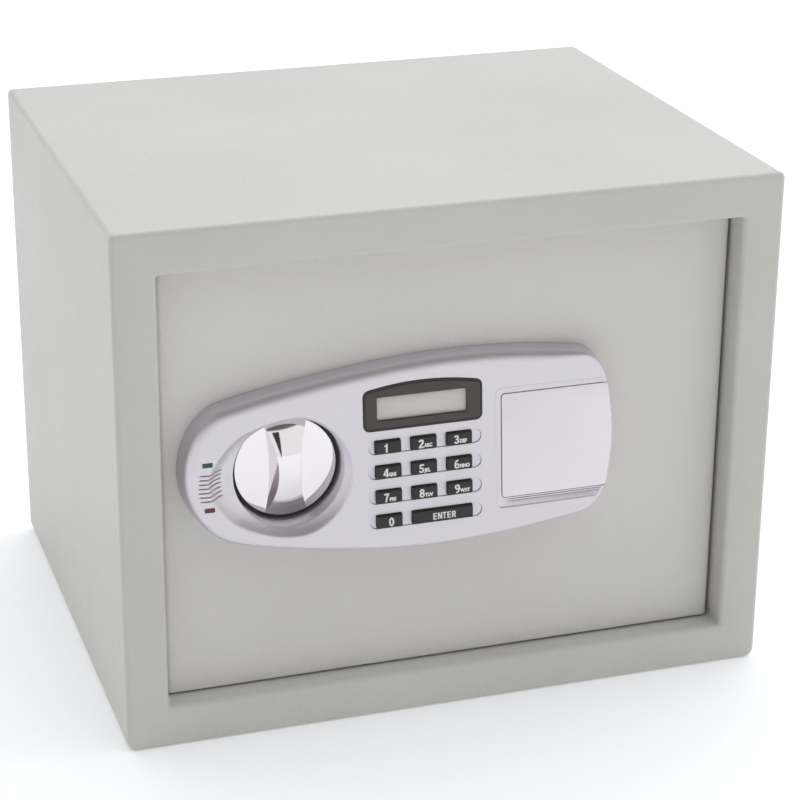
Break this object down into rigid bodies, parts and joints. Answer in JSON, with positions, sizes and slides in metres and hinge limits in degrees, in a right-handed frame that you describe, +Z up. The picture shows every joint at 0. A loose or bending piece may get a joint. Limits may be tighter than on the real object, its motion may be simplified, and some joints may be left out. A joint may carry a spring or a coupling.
{
  "type": "in room safe",
  "caption": "Sheet-steel room safe: hinged recessed door, oval lock panel with keypad, display and turn knob, sliding bolts, inner cover.",
  "frame": {"origin": "middle of the base, on the surface the safe stands on", "axes": "+X to the right seen from the front, +Y to the back, +Z up; the door and control panel face -Y"},
  "size_m": [0.38, 0.3125, 0.3],
  "materials": {
    "body_paint": "light warm-grey powder coat with a fine orange peel",
    "panel_silver": "satin silver plastic",
    "chrome": "polished chrome plate",
    "key_black": "black moulded rubbery plastic with light printed legends",
    "gloss_black": "glossy brown-black plastic",
    "clear": "clear window",
    "display": "grey-green liquid-crystal display",
    "green_lens": "green light, off",
    "red_lens": "red light, off",
    "board": "green circuit board",
    "dark_plastic": "black plastic, and rubber on the plugs",
    "zinc_steel": "zinc-plated steel",
    "bolt_steel": "bright plated steel",
    "brass": "turned brass",
    "cell_wrap": "plain blue cell sleeve",
    "felt": "dark grey needle felt",
    "red_plastic": "red plastic"
  },
  "bodies": {
    "cabinet": {"cabinet_shell": "body_paint", "back_panel": "body_paint", "floor_mat": "felt", "hinge_bush_upper": "brass", "hinge_bush_lower": "brass", "door_stop_upper": "zinc_steel", "door_stop_lower": "zinc_steel", "base_plug_left": "dark_plastic", "base_plug_right": "dark_plastic", "back_plug_left": "dark_plastic", "back_plug_right": "dark_plastic"},
    "door": {"door_panel": "body_paint", "door_pivot_upper": "zinc_steel", "door_pivot_lower": "zinc_steel", "lock_plate": "zinc_steel", "bolt_guide_upper": "zinc_steel", "bolt_guide_lower": "zinc_steel", "hinge_side_deadbar": "zinc_steel", "inner_door_cover": "dark_plastic", "cover_screw_1": "zinc_steel", "cover_screw_2": "zinc_steel", "cover_screw_3": "zinc_steel", "cover_screw_4": "zinc_steel", "panel_housing": "panel_silver", "display_surround": "gloss_black", "display_window": "clear", "display_module": "display", "keypad_board": "board", "green_led": "green_lens", "red_led": "red_lens", "buzzer": "dark_plastic", "battery_box": "dark_plastic", "battery_1": "cell_wrap", "battery_2": "cell_wrap", "battery_3": "cell_wrap", "battery_4": "cell_wrap", "battery_contact_left": "bolt_steel", "battery_contact_right": "bolt_steel", "solenoid_body": "zinc_steel"},
    "turn_knob": {"knob": "chrome", "knob_spindle": "zinc_steel", "crank_cam": "zinc_steel"},
    "bolts": {"bolt_carriage": "zinc_steel", "bolt_upper": "bolt_steel", "bolt_lower": "bolt_steel"},
    "plunger": {"solenoid_plunger": "bolt_steel"},
    "cover": {"battery_cover": "panel_silver"},
    "reset": {"reset_button": "red_plastic"},
    "cap_0": {"key_0": "key_black"},
    "cap_1": {"key_1": "key_black"},
    "cap_2": {"key_2": "key_black"},
    "cap_3": {"key_3": "key_black"},
    "cap_4": {"key_4": "key_black"},
    "cap_5": {"key_5": "key_black"},
    "cap_6": {"key_6": "key_black"},
    "cap_7": {"key_7": "key_black"},
    "cap_8": {"key_8": "key_black"},
    "cap_9": {"key_9": "key_black"},
    "cap_enter": {"key_enter": "key_black"}
  },
  "joints": [
    {"name": "door_hinge", "type": "hinge", "parent": "cabinet", "child": "door", "pos_m": [0.1575, -0.1325, 0.15], "axis": [0, 0, 1], "range_deg": [0, 95]},
    {"name": "knob_turn", "type": "hinge", "parent": "door", "child": "turn_knob", "pos_m": [-0.0958, -0.1525, 0.1566], "axis": [0, 1, 0], "range_deg": [0, 90]},
    {"name": "bolt_throw", "type": "slide", "parent": "door", "child": "bolts", "axis": [-1, 0, 0], "range_m": [0, 0.016]},
    {"name": "lock_plunger_slide", "type": "slide", "parent": "door", "child": "plunger", "axis": [0, 0, 1], "range_m": [0, 0.004]},
    {"name": "battery_cover_slide", "type": "slide", "parent": "door", "child": "cover", "axis": [1, 0, 0], "range_m": [0, 0.036]},
    {"name": "press_reset", "type": "slide", "parent": "door", "child": "reset", "axis": [0, -1, 0], "range_m": [0, 0.0015], "stiffness_N_per_m": 250, "springref_m": -0.001},
    {"name": "press_key_0", "type": "slide", "parent": "door", "child": "cap_0", "axis": [0, 0.9962, -0.0872], "range_m": [0, 0.0012], "stiffness_N_per_m": 200, "springref_m": -0.0015},
    {"name": "press_key_1", "type": "slide", "parent": "door", "child": "cap_1", "axis": [0, 0.9962, -0.0872], "range_m": [0, 0.0012], "stiffness_N_per_m": 200, "springref_m": -0.0015},
    {"name": "press_key_2", "type": "slide", "parent": "door", "child": "cap_2", "axis": [0, 0.9962, -0.0872], "range_m": [0, 0.0012], "stiffness_N_per_m": 200, "springref_m": -0.0015},
    {"name": "press_key_3", "type": "slide", "parent": "door", "child": "cap_3", "axis": [0, 0.9962, -0.0872], "range_m": [0, 0.0012], "stiffness_N_per_m": 200, "springref_m": -0.0015},
    {"name": "press_key_4", "type": "slide", "parent": "door", "child": "cap_4", "axis": [0, 0.9962, -0.0872], "range_m": [0, 0.0012], "stiffness_N_per_m": 200, "springref_m": -0.0015},
    {"name": "press_key_5", "type": "slide", "parent": "door", "child": "cap_5", "axis": [0, 0.9962, -0.0872], "range_m": [0, 0.0012], "stiffness_N_per_m": 200, "springref_m": -0.0015},
    {"name": "press_key_6", "type": "slide", "parent": "door", "child": "cap_6", "axis": [0, 0.9962, -0.0872], "range_m": [0, 0.0012], "stiffness_N_per_m": 200, "springref_m": -0.0015},
    {"name": "press_key_7", "type": "slide", "parent": "door", "child": "cap_7", "axis": [0, 0.9962, -0.0872], "range_m": [0, 0.0012], "stiffness_N_per_m": 200, "springref_m": -0.0015},
    {"name": "press_key_8", "type": "slide", "parent": "door", "child": "cap_8", "axis": [0, 0.9962, -0.0872], "range_m": [0, 0.0012], "stiffness_N_per_m": 200, "springref_m": -0.0015},
    {"name": "press_key_9", "type": "slide", "parent": "door", "child": "cap_9", "axis": [0, 0.9962, -0.0872], "range_m": [0, 0.0012], "stiffness_N_per_m": 200, "springref_m": -0.0015},
    {"name": "press_key_enter", "type": "slide", "parent": "door", "child": "cap_enter", "axis": [0, 0.9962, -0.0872], "range_m": [0, 0.0012], "stiffness_N_per_m": 200, "springref_m": -0.0015}
  ],
  "couplings": [
    {"joint": "bolt_throw", "follows": "knob_turn", "m_per_rad": 0.01018}
  ]
}
